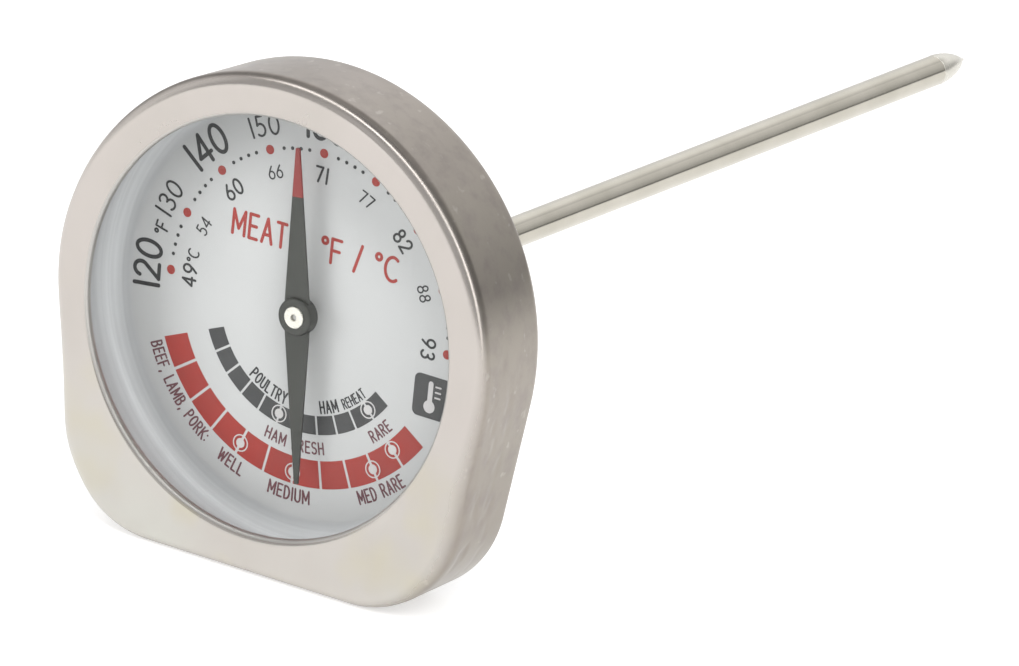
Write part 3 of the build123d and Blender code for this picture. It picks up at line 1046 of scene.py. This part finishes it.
def make_tip():
    """Ground point: a plug in the tube, a shallow groove at the joint, then a rounded taper."""
    plug_end = STEM_SHOULDER - TIP_PLUG
    shoulder = STEM_SHOULDER + 0.02
    taper = STEM_SHOULDER + 0.1
    profile = [
        (0, plug_end),
        (STEM_BORE_R, plug_end),
        (STEM_BORE_R, shoulder),
        (STEM_R - 0.05, shoulder),
        (STEM_R - 0.02, shoulder + 0.03),
    ]
    for t in np.linspace(0, 1, 31)[1:-1]:
        r = min(STEM_R * (1 - t ** 2.1) ** 0.92, STEM_R - 0.005)
        profile.append((r, taper + t * (STEM_POINT - taper)))
    profile += [(0.16, STEM_POINT - 0.06), (0, STEM_POINT)]
    points, faces = lathe(profile, 96, closed=False)
    return outward(link("probe_point", points, faces, [TIP_STEEL], "case", ["stem_tip"]))


make_tube()
make_tip()


# ---- CAD pieces that keep their shape -----------------------------------------------------
KEPT = {
    "pointer_bushing": NICKEL,
    "back_cover": COVER_STEEL,
    "case_seal": RUBBER,
    "lens_gasket": RUBBER,
    "stem_washer": RUBBER,
    "dial_spacer": SPACER,
    "spindle": WIRE_STEEL,
    "spindle_sleeve": WIRE_STEEL,
    "coil_anchor": WIRE_STEEL,
    "bimetal_coil": BIMETAL,
    "upper_guide": BEARING,
    "lower_guide": BEARING,
    "stem_ferrule": FERRULE_STEEL,
    "lock_nut": FERRULE_STEEL,
}
for node, finish in KEPT.items():
    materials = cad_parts[node].data.materials
    materials.clear()
    materials.append(finish)


# ---- camera -------------------------------------------------------------------------------
AZIMUTH = math.radians(31.80)
ELEVATION = math.radians(18.72)
ROLL = math.radians(5.88)
DISTANCE = 2.3785         # from the window's middle, in metres
LENS_MM = 685.3
AIM_RIGHT = 0.02958       # the view's middle, from the window's middle, across the view
AIM_UP = -0.00067


def make_camera():
    """Long-lens camera in front of the dial, above and to its right, slightly rolled."""
    flat = math.cos(ELEVATION)
    back = Vector((math.sin(AZIMUTH) * flat, -math.cos(AZIMUTH) * flat, math.sin(ELEVATION)))
    level = Vector((math.cos(AZIMUTH), math.sin(AZIMUTH), 0))
    rise = back.cross(level)
    right = level * math.cos(ROLL) + rise * math.sin(ROLL)
    up = rise * math.cos(ROLL) - level * math.sin(ROLL)
    window = Vector((0, LIP_Y * MM, 0))
    place = window + right * AIM_RIGHT + up * AIM_UP + back * DISTANCE
    turn = Matrix((right, up, back)).transposed()
    data = bpy.data.cameras.new("camera")
    data.lens = LENS_MM
    data.sensor_width = 36
    data.clip_start = 0.1
    data.clip_end = 30
    cam = bpy.data.objects.new("camera", data)
    cam.matrix_world = Matrix.Translation(place) @ turn.to_4x4()
    bpy.context.scene.collection.objects.link(cam)
    bpy.context.scene.camera = cam


make_camera()


# ---- floor and light ----------------------------------------------------------------------
def make_floor():
    """Plain pale floor that glows a little, so that it stays even and bright."""
    half = 4.0
    z = -FOOT_DROP * MM
    corners = [(-half, -half, z), (half, -half, z), (half, half, z), (-half, half, z)]
    mesh = bpy.data.meshes.new("floor")
    mesh.from_pydata(corners, [], [(0, 1, 2, 3)])
    n = new_material("floor_white")
    paper = n.noise(40, 3)
    colour = n.blend(n.span(paper, 0, 1), (0.70, 0.70, 0.70), (0.72, 0.72, 0.72))
    shader = n.shade(colour, 0.9)
    n.feed(shader.inputs["Emission Color"], (1, 1, 1))
    n.feed(shader.inputs["Emission Strength"], 0.55)
    mesh.materials.append(n.owner)
    floor = bpy.data.objects.new("floor", mesh)
    bpy.context.scene.collection.objects.link(floor)


# soft lamps that light the dial: place in metres, width and power
LAMP_TARGET = Vector((0, -0.02, 0))
LAMPS = {
    "key": ((-0.55, -0.62, 0.22), 0.45, 2.75),
    "fill": ((0.55, -0.42, 0.62), 0.5, 3.75),
}


def make_lamp(name, place, size, power):
    data = bpy.data.lights.new(name, "AREA")
    data.shape = "RECTANGLE"
    data.size = size
    data.size_y = size
    data.energy = power
    lamp = bpy.data.objects.new(name, data)
    lamp.location = place
    lamp.rotation_mode = "QUATERNION"
    lamp.rotation_quaternion = (LAMP_TARGET - Vector(place)).to_track_quat("-Z", "Y")
    lamp.visible_glossy = False
    bpy.context.scene.collection.objects.link(lamp)


# the studio's glow, which the steel mirrors: (direction, cosines where a patch starts and is
# full, brightness)
BASE_GLOW = 0.32
GLOWS = (
    ((0.00, 0.60, 0.80), 0.60, 0.90, 0.36),
    ((-0.35, 0.90, 0.25), 0.75, 0.95, 0.88),
    ((-0.80, -0.55, 0.20), 0.55, 0.95, 0.36),
    ((-0.97, -0.15, 0.20), 0.80, 0.95, 0.62),
    ((0.441, 0.805, 0.397), 0.93, 0.965, 0.46),
    ((0.15, -0.96, 0.25), 0.72, 0.95, 0.42),
)

# long overhead softbox: its plane's normal, its middle, and its brightness
STRIP_ACROSS = (0.294, 0.814, 0.502)
STRIP_MIDDLE = (0.35, -0.60, 0.72)
STRIP_SHINE = 4.6


def make_world():
    world = bpy.data.worlds.new("studio")
    n = Nodes(world, "ShaderNodeOutputWorld")
    view = n.place()["Generated"]

    def toward(direction):
        dot = n.add("ShaderNodeVectorMath", operation="DOT_PRODUCT")
        n.feed(dot.inputs[0], view)
        dot.inputs[1].default_value = Vector(direction).normalized()
        return dot.outputs["Value"]

    def patch(value, start, full, bright):
        return n.span(value, 0, bright, start, full, smooth_step=True)

    near_plane = n.maths("SUBTRACT", 1, n.maths("ABSOLUTE", toward(STRIP_ACROSS)))
    strip = patch(near_plane, 0.88, 0.945, STRIP_SHINE)
    total = n.maths("MULTIPLY", strip, patch(toward(STRIP_MIDDLE), 0.40, 0.60, 1))
    for direction, start, full, bright in GLOWS:
        total = n.maths("ADD", total, patch(toward(direction), start, full, bright))
    sky = n.add("ShaderNodeBackground")
    n.feed(sky.inputs["Strength"], n.maths("ADD", total, BASE_GLOW))
    n.feed(n.out.inputs["Surface"], sky.outputs[0])
    bpy.context.scene.world = world


make_floor()
make_world()
for lamp_name, settings in LAMPS.items():
    make_lamp(lamp_name, *settings)
bpy.context.scene.view_settings.view_transform = "Standard"
